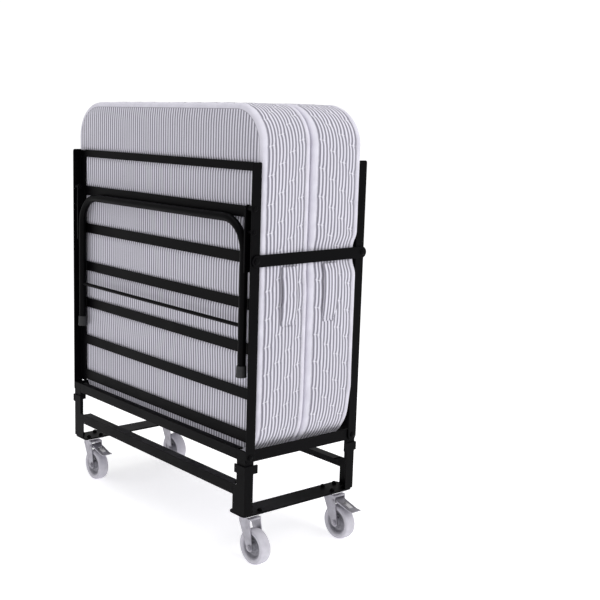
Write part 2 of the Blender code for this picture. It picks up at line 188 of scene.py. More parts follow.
def zinc(name, base, rough_low, rough_high):
    n = Nodes(name)
    spangle = n.node("ShaderNodeTexVoronoi")
    spangle.inputs["Scale"].default_value = 260.0
    n.link(n.coords(), spangle.inputs["Vector"])
    stain = n.noise(45.0, 5.0, 0.6)
    fine = n.noise(1400.0, 2.0)
    dark = tuple(c * 0.72 for c in base)
    colour = n.mix(n.span(stain, 0.35, 0.7, 0.0, 1.0), base, dark)
    colour = n.mix(n.span(spangle.outputs["Distance"], 0.0, 1.0, 0.0, 0.25), colour, tuple(min(1, c * 1.15) for c in base))
    n.set(Base_Color=colour, Metallic=0.85, Roughness=n.span(stain, 0.3, 0.75, rough_low, rough_high))
    n.set(Normal=n.bump(fine, 0.12, 0.0003))
    return n.mat


def tyre_rubber():
    n = Nodes("tyre_rubber")
    dust = n.noise(38.0, 5.0, 0.6)
    fine = n.noise(1100.0, 2.0)
    colour = n.mix(n.span(dust, 0.35, 0.7, 0.0, 1.0), (0.56, 0.545, 0.60), (0.47, 0.455, 0.51))
    n.set(Base_Color=colour, Roughness=n.span(dust, 0.3, 0.7, 0.5, 0.66), Normal=n.bump(fine, 0.2, 0.0004))
    return n.mat


def hub_plastic():
    n = Nodes("hub_moulded")
    dust = n.noise(55.0, 5.0, 0.6)
    fine = n.noise(900.0, 2.0)
    colour = n.mix(n.span(dust, 0.35, 0.7, 0.0, 1.0), (0.27, 0.265, 0.30), (0.19, 0.185, 0.21))
    n.set(Base_Color=colour, Roughness=n.span(dust, 0.3, 0.7, 0.38, 0.52), Normal=n.bump(fine, 0.15, 0.0003))
    n.shader.inputs["Metallic"].default_value = 0.25
    return n.mat


def cap_rubber():
    n = Nodes("foot_cap_rubber")
    fine = n.noise(700.0, 3.0)
    dust = n.noise(50.0, 5.0)
    colour = n.mix(n.span(dust, 0.4, 0.75, 0.0, 1.0), (0.010, 0.010, 0.012), (0.028, 0.027, 0.030))
    n.set(Base_Color=colour, Roughness=n.span(dust, 0.3, 0.7, 0.6, 0.75), Normal=n.bump(fine, 0.3, 0.0005))
    return n.mat


LIGHT = (0.68, 0.665, 0.745)
DARK = (0.185, 0.178, 0.215)
STRIPE = 0.0114
COLUMN = 0.0347
PITCH = 0.0762
STEP = 0.0305
FIRST = -0.0694


def weave(n, u, v, pitch=0.00085):
    """Height of a plain weave: warp and weft threads passing over each other."""
    a = n.math("SINE", n.math("MULTIPLY", u, 2 * math.pi / pitch))
    b = n.math("SINE", n.math("MULTIPLY", v, 2 * math.pi / pitch))
    return n.math("MULTIPLY", a, b)


def ticking(name, stitched):
    n = Nodes(name)
    u, v = n.uv()
    wander = n.noise(3.0, 2.0)
    shift = n.math("MULTIPLY", n.math("SUBTRACT", wander, 0.5), 0.0035)
    phase = n.math("FRACT", n.math("DIVIDE", n.math("ADD", u, shift), STRIPE))
    # a broad stripe with soft woven edges
    off = n.math("ABSOLUTE", n.math("SUBTRACT", phase, 0.5))
    stripe = n.span(off, 0.205, 0.305, 1.0, 0.0)
    slub = n.noise(420.0, 3.0, 0.6)
    fade = n.noise(6.0, 4.0, 0.55)
    light = n.mix(n.span(fade, 0.3, 0.7, 0.0, 1.0), LIGHT, tuple(c * 0.93 for c in LIGHT))
    dark = n.mix(n.span(slub, 0.3, 0.7, 0.0, 1.0), DARK, tuple(c * 1.25 for c in DARK))
    colour = n.mix(stripe, light, dark)
    height = n.math("MULTIPLY", weave(n, u, v), 0.5)
    height = n.math("ADD", height, n.math("MULTIPLY", stripe, -0.35))
    if stitched:
        along = n.math("DIVIDE", n.math("SUBTRACT", u, FIRST), COLUMN)
        k = n.math("FLOOR", along)
        du = n.math("SUBTRACT", n.math("FRACT", along), 0.5)
        row = n.math("ADD", v, n.math("MULTIPLY", k, STEP))
        row = n.math("ADD", row, n.math("MULTIPLY", du, 0.24 * COLUMN))
        near = n.math("ABSOLUTE", n.math("SUBTRACT", n.math("FRACT", n.math("DIVIDE", row, PITCH)), 0.5))
        near = n.math("MULTIPLY", near, PITCH)
        thread = n.span(near, 0.0006, 0.0013, 1.0, 0.0)
        thread = n.math("MULTIPLY", thread, n.span(n.math("ABSOLUTE", du), 0.29, 0.32, 1.0, 0.0))
        # the thread lies on the cloth as short stitches
        dash = n.math("FRACT", n.math("DIVIDE", u, 0.0042))
        thread = n.math("MULTIPLY", thread, n.span(n.math("ABSOLUTE", n.math("SUBTRACT", dash, 0.5)), 0.36, 0.44, 1.0, 0.25))
        colour = n.mix(n.math("MULTIPLY", thread, 0.75), colour, (0.76, 0.75, 0.81))
        height = n.math("ADD", height, n.math("MULTIPLY", thread, 0.9))
    n.set(Base_Color=colour, Roughness=n.span(slub, 0.3, 0.7, 0.82, 0.94))
    n.shader.inputs["Sheen Weight"].default_value = 0.25
    n.shader.inputs["Sheen Roughness"].default_value = 0.5
    n.shader.inputs["Specular IOR Level"].default_value = 0.25
    n.set(Normal=n.bump(height, 0.35, 0.0004, n.bump(n.noise(26.0, 4.0), 0.25, 0.0025)))
    return n.mat


def tape():
    n = Nodes("binding_tape")
    u, v = n.uv()
    twill = n.math("SINE", n.math("MULTIPLY", n.math("ADD", u, v), 2 * math.pi / 0.0016))
    soft = n.noise(30.0, 4.0)
    colour = n.mix(n.span(soft, 0.3, 0.7, 0.0, 1.0), (0.66, 0.645, 0.72), (0.58, 0.565, 0.64))
    # a line of needle holes near each edge
    hole = n.math("FRACT", n.math("DIVIDE", v, 0.0040))
    row = n.math("ABSOLUTE", n.math("SUBTRACT", n.math("ABSOLUTE", u), 0.0112))
    pin = n.math("MULTIPLY", n.span(row, 0.0005, 0.0011, 1.0, 0.0), n.span(n.math("ABSOLUTE", n.math("SUBTRACT", hole, 0.5)), 0.18, 0.3, 1.0, 0.0))
    colour = n.mix(n.math("MULTIPLY", pin, 0.5), colour, (0.45, 0.44, 0.5))
    # a painted shadow line where the tape is sewn down, darkening the tape's colour near its edges
    seam_shadow = n.span(n.math("ABSOLUTE", u), 0.0128, 0.0138, 0.0, 0.8)
    colour = n.mix(seam_shadow, colour, (0.13, 0.125, 0.15))
    height = n.math("SUBTRACT", n.math("MULTIPLY", twill, 0.4), n.math("MULTIPLY", pin, 1.5))
    n.set(Base_Color=colour, Roughness=n.span(soft, 0.3, 0.7, 0.8, 0.92))
    n.shader.inputs["Sheen Weight"].default_value = 0.2
    n.shader.inputs["Specular IOR Level"].default_value = 0.25
    n.set(Normal=n.bump(height, 0.3, 0.0003, n.bump(n.noise(40.0, 3.0), 0.25, 0.002)))
    return n.mat


def floor_paint():
    n = Nodes("studio_floor")
    cloud = n.noise(1.5, 3.0)
    colour = n.mix(n.span(cloud, 0.3, 0.7, 0.0, 1.0), (0.93, 0.93, 0.94), (0.915, 0.915, 0.925))
    n.set(Base_Color=colour, Roughness=0.9, Emission_Color=(1.0, 1.0, 1.0), Emission_Strength=0.50)
    n.shader.inputs["Specular IOR Level"].default_value = 0.1
    return n.mat


M = {
    "black_coat": powder_coat(),
    "zinc_fittings": zinc("zinc_plate", (0.40, 0.39, 0.43), 0.38, 0.55),
    "bright": zinc("bright_plate", (0.80, 0.79, 0.82), 0.16, 0.30),
    "wheel_hub": hub_plastic(),
    "tread": tyre_rubber(),
    "foot_rubber": cap_rubber(),
    "panel": ticking("ticking_panel", False),
    "boxing": ticking("ticking_boxing", True),
    "tape": tape(),
}


# ------------------------------------------------------------------ steel pieces
def smooth(mesh, angle=35):
    mesh.shade_smooth()
    mesh.set_sharp_from_angle(angle=math.radians(angle))


def refine(node, width, material, segments=2, flatten=0.6):
    """The CAD node's own form with its edges eased, so that they catch the light."""
    source = frame["nodes"][node]
    bm = bmesh.new()
    bm.from_mesh(source.data)
    bmesh.ops.remove_doubles(bm, verts=bm.verts, dist=2e-6)
    bmesh.ops.dissolve_limit(bm, angle_limit=math.radians(flatten), verts=bm.verts, edges=bm.edges)
    mesh = bpy.data.meshes.new(node + "_form")
    bm.to_mesh(mesh)
    bm.free()
    for name in ("custom_normal",):
        if name in mesh.attributes:
            mesh.attributes.remove(mesh.attributes[name])
    mesh.materials.clear()
    mesh.materials.append(material)
    for p in mesh.polygons:
        p.material_index = 0
    obj = link(bpy.data.objects.new(node + "_form", mesh))
    if width:
        mod = obj.modifiers.new("Eased edges", "BEVEL")
        mod.width = width
        mod.segments = segments
        mod.limit_method = "ANGLE"
        mod.angle_limit = math.radians(40)
        mod.use_clamp_overlap = True
        mod.harden_normals = False
    smooth(mesh, 35)
    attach(obj, body_of[node])
    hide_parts(node)
    return obj


def finished(name, verts, faces, material, body, node=None, uv=None, round_angle=40):
    mesh = bpy.data.meshes.new(name)
    mesh.from_pydata([tuple(map(float, v)) for v in verts], [], faces)
    bm = bmesh.new()
    bm.from_mesh(mesh)
    bmesh.ops.recalc_face_normals(bm, faces=bm.faces)
    bm.to_mesh(mesh)
    bm.free()
    mesh.materials.append(material)
    smooth(mesh, round_angle)
    obj = link(bpy.data.objects.new(name, mesh))
    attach(obj, body)
    if node:
        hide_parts(node)
    return obj


def lathe(profile, axis, centre, n, closed=True):
    k = "xyz".index(axis)
    a, b = [i for i in range(3) if i != k]
    verts, faces = [], []
    m = len(profile)
    for i in range(n):
        t = 2 * math.pi * i / n
        for r, h in profile:
            p = [float(c) for c in centre]
            p[a] += r * math.cos(t)
            p[b] += r * math.sin(t)
            p[k] += h
            verts.append(p)
    for i in range(n):
        j = (i + 1) % n
        for s in range(m if closed else m - 1):
            e = (s + 1) % m
            faces.append((i * m + s, i * m + e, j * m + e, j * m + s))
    return verts, faces


for node in sorted(frame["nodes"]):
    slot = slot_of[node]
    if slot == "black_coat" and not node.endswith("_u_leg"):
        refine(node, 0.0006, M[slot])
    elif node.startswith("caster_"):
        obj = refine(node, 0.0004, M[slot])
        if node.startswith("caster_plate"):
            # the nuts above the base plate are black, the race and the top plate bright
            obj.data.materials.append(M["black_coat"])
            obj.data.materials.append(M["bright"])
            for p in obj.data.polygons:
                z = p.center.z
                p.material_index = 1 if z > left_hi.z - 0.003 else 2

# ------------------------------------------------------------------ U-legs (round tube, brace, straps): the CAD node with its edges eased
for side, sy in (("front", -1), ("rear", 1)):
    node = f"{side}_u_leg"
    refine(node, 0.0004, M["black_coat"], flatten=0.2)

# ------------------------------------------------------------------ wheels
for where in ("front_left", "front_right", "rear_left", "rear_right"):
    lo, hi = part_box(f"tyre_{where}")
    c = (lo + hi) / 2
    R, half = (hi.z - lo.z) / 2, (hi.y - lo.y) / 2
    c.z = lo.z + R
    # the tread's section: flat-topped with round shoulders and a fine groove on each side wall
    section = []
    for sign in (-1, 1):
        part = [
            (0.0348, 0.0132),
            (0.0360, 0.0142),
            (0.0385, half - 0.0004),
            (0.0410, half),
            (0.0432, half),
            (0.0438, half - 0.0003),
            (0.0442, half - 0.0012),
            (0.0448, half - 0.0012),
            (0.0453, half - 0.0003),
            (0.0462, half - 0.0006),
            (0.0476, half - 0.0018),
            (0.0488, half - 0.0040),
            (0.0496, half - 0.0068),
            (R, half - 0.0100),
        ]
        section += [(r, sign * h) for r, h in (part if sign < 0 else reversed(part))]
    v, f = lathe(section, "y", c, 72)
    finished(f"tyre_{where}_form", v, f, M["tread"], body_of[f"tyre_{where}"], f"tyre_{where}", round_angle=50)
    # hub: boss, dished web with two raised rings, rim
    side_half = [
        (0.0052, 0.0168),
        (0.0088, 0.0168),
        (0.0092, 0.0160),
        (0.0112, 0.0160),
        (0.0117, 0.0154),
        (0.0126, 0.0072),
        (0.0140, 0.0058),
        (0.0178, 0.0055),
        (0.0184, 0.0066),
        (0.0204, 0.0066),
        (0.0210, 0.0054),
        (0.0262, 0.0054),
        (0.0276, 0.0066),
        (0.0304, 0.0112),
        (0.0314, 0.0124),
        (0.0340, 0.0126),
        (0.0345, 0.0122),
    ]
    section = [(r, -h) for r, h in side_half] + [(r, h) for r, h in reversed(side_half)]
    v, f = lathe(section, "y", c, 64)
    finished(f"wheel_hub_{where}_form", v, f, M["wheel_hub"], body_of[f"wheel_hub_{where}"], f"wheel_hub_{where}", round_angle=40)

# ------------------------------------------------------------------ rubber feet
for side in ("front", "rear"):
    for hand in ("left", "right"):
        node = f"{side}_foot_cap_{hand}"
        lo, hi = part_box(node)
        c = (lo + hi) / 2
        h = hi.z - lo.z
        wall = [
            (0.0001, 0.0),
            (0.0138, 0.0),
            (0.0150, 0.0008),
            (0.0153, 0.0022),
            (0.0150, 0.0046),
            (0.0144, 0.0056),
            (0.0142, 0.0062),
            (0.0145, 0.0070),
            (0.0144, 0.0090),
            (0.0140, 0.0098),
            (0.0139, h - 0.0040),
            (0.0134, h - 0.0008),
            (0.0126, h),
            (0.0120, h - 0.0006),
            (0.0118, h - 0.0030),
            (0.0118, 0.0057),
            (0.0001, 0.0057),
        ]
        v, f = lathe(wall, "z", (c.x, c.y, lo.z), 40)
        finished(node + "_form", v, f, M["foot_rubber"], body_of[node], node, round_angle=50)


# ------------------------------------------------------------------ brake pedals
def slab(outline, thick, y0, y1):
    """A sheet bent along X: outline is the middle line in (x, z), thick its thickness."""
    pts = [np.array(p, float) for p in outline]
    verts, faces = [], []
    for i, p in enumerate(pts):
        a = pts[max(i - 1, 0)]
        b = pts[min(i + 1, len(pts) - 1)]
        t = (b - a) / np.linalg.norm(b - a)
        nrm = np.array([-t[1], t[0]]) * thick / 2
        for q in (p - nrm, p + nrm):
            for y in (y0, y1):
                verts.append((q[0], y, q[1]))
    for i in range(len(pts) - 1):
        o, q = 4 * i, 4 * i + 4
        for a, b in ((0, 1), (1, 3), (3, 2), (2, 0)):
            faces.append((o + a, o + b, q + b, q + a))
    faces.append((0, 1, 3, 2))
    last = 4 * (len(pts) - 1)
    faces.append((last, last + 1, last + 3, last + 2))
    return verts, faces


for where in ("front_left", "rear_right"):
    node = f"brake_pedal_{where}"
    obj = refine(node, 0.0005, M["zinc_fittings"])
    lo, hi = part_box(node)
    cy = (lo.y + hi.y) / 2
    # the treadle's raised ribs and, on one caster, a bright pressed tab between them
    x0, x1 = hi.x - 0.056, hi.x - 0.018
    body = body_of[node]

    def top(x):
        t = (x - (hi.x - 0.060)) / (0.060 - 0.0155)
        return 0.1150 + (0.1020 - 0.1150) * min(max(t, 0), 1)

    for i, s in enumerate((-1, 1)):
        y = cy + s * 0.0125
        line = [(x, top(x) + 0.0004) for x in np.linspace(x0, x1, 8)]
        v, f = slab(line, 0.0016, y - 0.0015, y + 0.0015)
        finished(f"pedal_rib_{where}_{i}", v, f, M["zinc_fittings"], body)
    line = [(x, top(x) + 0.0005) for x in np.linspace(x0 + 0.004, x1 - 0.003, 8)]
    v, f = slab(line, 0.0012, cy - 0.0075, cy + 0.0075)
    finished(f"pedal_tab_{where}", v, f, M["bright"], body)

# ------------------------------------------------------------------ mattress
EDGE = 0.110
OUT_LO, OUT_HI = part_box("front_mattress")
HX = (OUT_HI.x - OUT_LO.x) / 2 + 0.0075
Z_TOP = OUT_HI.z
Z_LOW = OUT_LO.z - 0.0395
MX = (OUT_HI.x + OUT_LO.x) / 2
MZ = (Z_TOP + Z_LOW) / 2
HZ = (Z_TOP - Z_LOW) / 2
Y_OUT = max(abs(OUT_LO.y), abs(OUT_HI.y))
Y_IN = min(abs(OUT_LO.y), abs(OUT_HI.y))


def outline(nx, nz):
    """Points on the rounded rectangle, counter-clockwise from the middle of the lower left corner, with outward normals and arc length."""
    dense = []
    n = 400
    corners = [
        (MX + HX - EDGE, MZ - HZ + EDGE, -90),
        (MX + HX - EDGE, MZ + HZ - EDGE, 0),
        (MX - HX + EDGE, MZ + HZ - EDGE, 90),
        (MX - HX + EDGE, MZ - HZ + EDGE, 180),
    ]

    def arc(c, a0, a1):
        return [
            (c[0] + EDGE * math.cos(math.radians(a)), c[1] + EDGE * math.sin(math.radians(a)), math.cos(math.radians(a)), math.sin(math.radians(a)))
            for a in np.linspace(a0, a1, n)
        ]

    def straight(p, q):
        return [
            (p[0] + (q[0] - p[0]) * t, p[1] + (q[1] - p[1]) * t, p[2], p[3]) for t in np.linspace(0, 1, n)[1:-1]
        ]

    sides = []
    for i in range(4):
        a, b = corners[i - 1], corners[i]
        start = (-90 + 90 * i) % 360
        first = arc(a, start - 45, start)
        last = arc(b, start, start + 45)
        sides.append(first + straight(first[-1], last[0]) + last)
    rows = []
    for i, side in enumerate(sides):
        side = np.array(side)
        s = np.r_[0, np.cumsum(np.linalg.norm(np.diff(side[:, :2], axis=0), axis=1))]
        k = nx if i % 2 == 0 else nz
        at = np.linspace(0, s[-1], k + 1)
        cols = [np.interp(at, s, side[:, c]) for c in range(4)]
        rows.append(np.stack(cols, 1))
    return rows


def half_mesh(name, sy, nx, nz):
    """One mattress half: two panels, the boxing between them, and a bound edge round each panel."""
    sides = outline(nx, nz)
    loop = np.concatenate([s[:-1] for s in sides])
    N = len(loop)
    arc = np.r_[0, np.cumsum(np.linalg.norm(np.diff(np.vstack([loop[:, :2], loop[:1, :2]]), axis=0), axis=1))]
    # the section across the thickness: (inset from the outline, y, kind, across)
    r = 0.010
    bend = [(r - r * math.sin(a), Y_OUT - r + r * math.cos(a)) for a in np.radians([0, 22.5, 45, 67.5, 90])]
    outer = [(0.0210, Y_OUT), (0.0150, Y_OUT)] + bend + [(0.0, Y_OUT - r - 0.0045), (0.0, Y_OUT - r - 0.0085)]
    mid = [(0.0, y) for y in np.linspace(Y_OUT - r - 0.0085, Y_IN + r + 0.0085, 20)[1:-1]]
    inner = [(i, Y_OUT + Y_IN - y) for i, y in reversed(outer)]
    section = outer + mid + inner
    kinds = [0] + [2] * (len(outer) - 2) + [1] * (len(mid) + 1) + [2] * (len(outer) - 2) + [0]
    verts = []
    for inset, y in section:
        for x, z, ax, az in loop[:, :4]:
            verts.append((x - ax * inset, y, z - az * inset))
    across = [0.0]
    for (i0, y0), (i1, y1) in zip(section, section[1:]):
        across.append(across[-1] + math.hypot(i1 - i0, y1 - y0))
    faces, kind, uvs = [], [], []
    edge_mid = {}
    for r_i in range(len(section) - 1):
        k = kinds[r_i]
        for i in range(N):
            j = (i + 1) % N
            faces.append((r_i * N + i, r_i * N + j, (r_i + 1) * N + j, (r_i + 1) * N + i))
            kind.append(k)
            if k == 0:
                uvs.append([(verts[q][0], verts[q][2]) for q in faces[-1]])
            elif k == 1:
                ya = section[r_i][1] - (Y_OUT + Y_IN) / 2
                yb = section[r_i + 1][1] - (Y_OUT + Y_IN) / 2
                uvs.append([(ya, arc[i]), (ya, arc[i + 1]), (yb, arc[i + 1]), (yb, arc[i])])
            else:
                near_outer = r_i < len(section) / 2
                c0 = (across[1] + across[len(outer) - 1]) / 2
                c = c0 if near_outer else across[-1] - c0
                a0, a1 = across[r_i] - c, across[r_i + 1] - c
                uvs.append([(a0, arc[i]), (a0, arc[i + 1]), (a1, arc[i + 1]), (a1, arc[i])])
    # panels: a Coons patch inside the outline's first and last rings
    for ring, y in ((0, Y_OUT), (len(section) - 1, Y_IN)):
        P = np.array(verts[ring * N : (ring + 1) * N])[:, [0, 2]]
        idx = np.arange(ring * N, (ring + 1) * N)
        b = idx[0 : nx + 1]
        rr = idx[nx : nx + nz + 1]
        t = idx[nx + nz : 2 * nx + nz + 1][::-1]
        l = np.r_[idx[2 * nx + nz :], idx[0]][::-1]
        V = np.array(verts)[:, [0, 2]]
        B, T, L, Rr = V[b], V[t], V[l], V[rr]
        grid = np.zeros((nz + 1, nx + 1), int)
        grid[0], grid[-1], grid[:, 0], grid[:, -1] = b, t, l, rr
        for jz in range(1, nz):
            tt = jz / nz
            for jx in range(1, nx):
                ss = jx / nx
                p = (
                    (1 - tt) * B[jx]
                    + tt * T[jx]
                    + (1 - ss) * L[jz]
                    + ss * Rr[jz]
                    - ((1 - ss) * (1 - tt) * B[0] + ss * (1 - tt) * B[-1] + (1 - ss) * tt * T[0] + ss * tt * T[-1])
                )
                grid[jz, jx] = len(verts)
                verts.append((p[0], y, p[1]))
        for jz in range(nz):
            for jx in range(nx):
                f = (grid[jz, jx], grid[jz, jx + 1], grid[jz + 1, jx + 1], grid[jz + 1, jx])
                faces.append(tuple(int(q) for q in f))
                kind.append(0)
                uvs.append([(verts[q][0], verts[q][2]) for q in faces[-1]])
    co = np.array(verts, float)
    co[:, 1] *= sy
    mesh = bpy.data.meshes.new(name)
    mesh.from_pydata([tuple(map(float, p)) for p in co], [], faces)
    layer = mesh.uv_layers.new(name="cloth")
    flat = np.array([uv for face in uvs for uv in face], float)
    layer.data.foreach_set("uv", flat.ravel())
    for m in ("panel", "boxing", "tape"):
        mesh.materials.append(M[m])
    mesh.polygons.foreach_set("material_index", kind)
    # which way each point may swell: the depth on the boxing and its place across it
    a = mesh.attributes.new("across", "FLOAT", "POINT")
    s = mesh.attributes.new("along", "FLOAT", "POINT")
    w = mesh.attributes.new("boxing", "FLOAT", "POINT")
    av, sv, wv = np.zeros(len(co)), np.zeros(len(co)), np.zeros(len(co))
    for r_i, (inset, y) in enumerate(section):
        av[r_i * N : (r_i + 1) * N] = y - (Y_OUT + Y_IN) / 2
        sv[r_i * N : (r_i + 1) * N] = arc[:-1]
        wv[r_i * N : (r_i + 1) * N] = 1.0 if inset == 0.0 else 0.0
    a.data.foreach_set("value", av)
    s.data.foreach_set("value", sv)
    w.data.foreach_set("value", wv)
    obj = link(bpy.data.objects.new(name, mesh))
    # the seams where the binding is sewn down stay put while the cover swells
    seam = obj.vertex_groups.new(name="seam")
    rows = (1, len(outer) - 1, len(section) - len(outer), len(section) - 2)
    seam.add([r_i * N + i for r_i in rows for i in range(N)], 1.0, "REPLACE")
    bm = bmesh.new()
    bm.from_mesh(mesh)
    bmesh.ops.recalc_face_normals(bm, faces=bm.faces)
    bm.to_mesh(mesh)
    bm.free()
    mesh.shade_smooth()
    return obj


def swell(obj, cap, frames=20):
    """Air pressure inside the closed cover pushes it out between its seams; no point moves further than cap."""
    scene = bpy.context.scene
    rest = np.zeros(len(obj.data.vertices) * 3, np.float32)
    obj.data.vertices.foreach_get("co", rest)
    cloth = obj.modifiers.new("Cloth", "CLOTH")
    st = cloth.settings
    st.quality = 5
    st.mass = 0.3
    st.tension_stiffness = 25
    st.compression_stiffness = 25
    st.shear_stiffness = 10
    st.bending_stiffness = 0.6
    st.use_pressure = True
    st.uniform_pressure_force = 4.0
    st.vertex_group_mass = "seam"
    st.pin_stiffness = 1.0
    st.effector_weights.gravity = 0.0
    cloth.collision_settings.use_collision = False
    cloth.collision_settings.use_self_collision = False
    cloth.point_cache.frame_start, cloth.point_cache.frame_end = 1, frames
    scene.frame_start, scene.frame_end = 1, frames
    for f in range(1, frames + 1):
        scene.frame_set(f)
    dg = bpy.context.evaluated_depsgraph_get()
    done = bpy.data.meshes.new_from_object(obj.evaluated_get(dg))
    now = np.zeros_like(rest)
    done.vertices.foreach_get("co", now)
    bpy.data.meshes.remove(done)
    obj.modifiers.clear()
    scene.frame_set(1)
    move = (now - rest).reshape(-1, 3)
    far = np.linalg.norm(move, axis=1)
    move *= (cap * np.tanh(far / cap) / np.maximum(far, 1e-9))[:, None]
    obj.data.vertices.foreach_set("co", (rest.reshape(-1, 3) + move).astype(np.float32).ravel())
    obj.data.update()


def subdivide(obj, levels):
    mod = obj.modifiers.new("Fine", "SUBSURF")
    mod.levels = mod.render_levels = levels
    dg = bpy.context.evaluated_depsgraph_get()
    mesh = bpy.data.meshes.new_from_object(obj.evaluated_get(dg))
    obj.modifiers.clear()
    obj.data = mesh


def values(mesh, name):
    out = np.zeros(len(mesh.vertices), np.float32)
    mesh.attributes[name].data.foreach_get("value", out)
    return out.astype(float)


LATCH_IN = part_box("latch_bar")[0].x
LATCH_Z = (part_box("latch_bar")[0].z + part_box("latch_bar")[1].z) / 2
SLAT_BANDS = []
for m in ("bottom_slat", "slat_1", "slat_2", "slat_3", "slat_4", "slat_5", "end_rail"):
    lo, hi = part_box("front_" + m)
    SLAT_BANDS.append((lo.z, hi.z))


def lumps(co, seed, scale, n=14):
    """Slow, smooth unevenness, the sum of a few waves."""
    g = np.random.default_rng(seed)
    out = np.zeros(len(co))
    for _ in range(n):
        k = g.normal(size=3) * scale
        out += np.sin(co @ k + g.uniform(0, 6.28))
    return out / n


def dress(obj, sy, seed):
    """Quilting dents, seams, foam unevenness and the room that neighbours leave."""
    mesh = obj.data
    n = len(mesh.vertices)
    co = np.zeros(n * 3, np.float32)
    mesh.vertices.foreach_get("co", co)
    co = co.reshape(-1, 3).astype(float)
    nr = np.zeros(n * 3, np.float32)
    mesh.vertices.foreach_get("normal", nr)
    nr = nr.reshape(-1, 3).astype(float)
    across, along, box = values(mesh, "across"), values(mesh, "along"), values(mesh, "boxing")
    d = 0.0011 * lumps(co, seed, 22.0) + 0.0007 * lumps(co, seed + 1, 60.0)
    # quilting: a dent at each stitch, and a broader shallow dip round it
    t = (across - FIRST) / COLUMN
    for shift in (0, 1):
        k = np.floor(t) + shift - (0 if shift == 0 else 1)
        du = (t - k - 0.5) * COLUMN
        row = along + k * STEP + du * 0.24
        near = (np.mod(row / PITCH, 1.0) - 0.5) * PITCH
        if shift == 0:
            dent = np.exp(-(near**2) / (2 * 0.0045**2)) * np.exp(-(du**2) / (2 * 0.011**2))
            d -= box * 0.0026 * dent
            pull = np.exp(-(near**2) / (2 * 0.016**2)) * np.exp(-(du**2) / (2 * 0.014**2))
            d -= box * 0.0012 * pull
    # the cover is drawn in where the binding is sewn to it
    half = (Y_OUT - Y_IN) / 2
    seam_at = half - 0.0185
    groove = np.exp(-((np.abs(across) - seam_at) ** 2) / (2 * 0.0016**2))
    d -= box * 0.0016 * groove
    d += box * 0.0008 * (np.abs(across) > seam_at + 0.002)
    ripple = np.sin(along / 0.0135 * 2 * math.pi) * 0.5 + np.sin(along / 0.021 * 2 * math.pi + 1.3) * 0.5
    d += box * 0.0004 * ripple * np.exp(-((np.abs(across) - seam_at) ** 2) / (2 * 0.006**2))
    new = co + nr * d[:, None]
    # the slats press into the outer face, and the two halves meet flat
    y = new[:, 1] * sy
    press = np.zeros(n)
    for a, b in SLAT_BANDS:
        z = new[:, 2]
        inside = 1 / (1 + np.exp(-(z - a + 0.004) / 0.003)) * 1 / (1 + np.exp((z - b - 0.004) / 0.003))
        press = np.maximum(press, inside)
    limit = Y_OUT + 0.0037 - 0.0030 * press
    limit = np.minimum(limit, Y_OUT + 0.0010 + 0.0027 / (1 + np.exp(-(new[:, 2] - 0.545) / 0.012)))
    y = np.minimum(y, limit)
    y = np.maximum(y, Y_IN - 0.0005)
    new[:, 1] = y * sy
    new[:, 2] = np.minimum(new[:, 2], Z_TOP + 0.004)
    # above the deck the left side spreads past the posts; on the right the side bulges, except under the latch bar
    x, y, z = new[:, 0] - MX, new[:, 1], new[:, 2]
    wide = np.clip((z - 0.800) / 0.320, 0, 1)
    wide = wide * wide * (3 - 2 * wide)
    new[:, 0] -= 0.022 * wide * np.clip(-x / HX, 0, 1) ** 3
    bar = 1 - np.exp(-(((z - LATCH_Z) / 0.042) ** 4))
    if sy < 0:
        # the front half slides past the bar, so its side stays inside it higher up too
        bar *= 1 - np.clip((z - 0.740) / 0.060, 0, 1)
    foot = np.clip((z - 0.34) / 0.12, 0, 1)
    grow = np.clip((y + Y_OUT) / Y_OUT, 0, 1) * 0.005 + np.clip(y / Y_OUT, 0, 1) * 0.010
    new[:, 0] += grow * bar * foot * np.clip(x / HX, 0, 1) ** 6
    new[:, 0] = np.minimum(new[:, 0], LATCH_IN - 0.0008 + 0.020 * bar)
    mesh.vertices.foreach_set("co", new.astype(np.float32).ravel())
    mesh.update()
    mesh.shade_smooth()


nx, nz = ((66, 68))
for side, sy, seed in (("front", -1, 11), ("rear", 1, 23)):
    obj = half_mesh(f"{side}_mattress_cover", sy, nx, nz)
    swell(obj, 0.0048)
    subdivide(obj, 1)
    dress(obj, sy, seed)
    body = body_of[f"{side}_mattress"]
    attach(obj, body)
    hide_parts(f"{side}_mattress")
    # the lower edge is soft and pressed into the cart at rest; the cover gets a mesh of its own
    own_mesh(obj)


# ------------------------------------------------------------------ strap handles, one on each half
def surface_x(cover, y, z):
    """Where the side of a cover lies in X at (y, z)."""
    hit, where, _, _ = cover.ray_cast(Vector((MX + HX + 0.1, y, z)), Vector((-1, 0, 0)))
    return where.x if hit else MX + HX


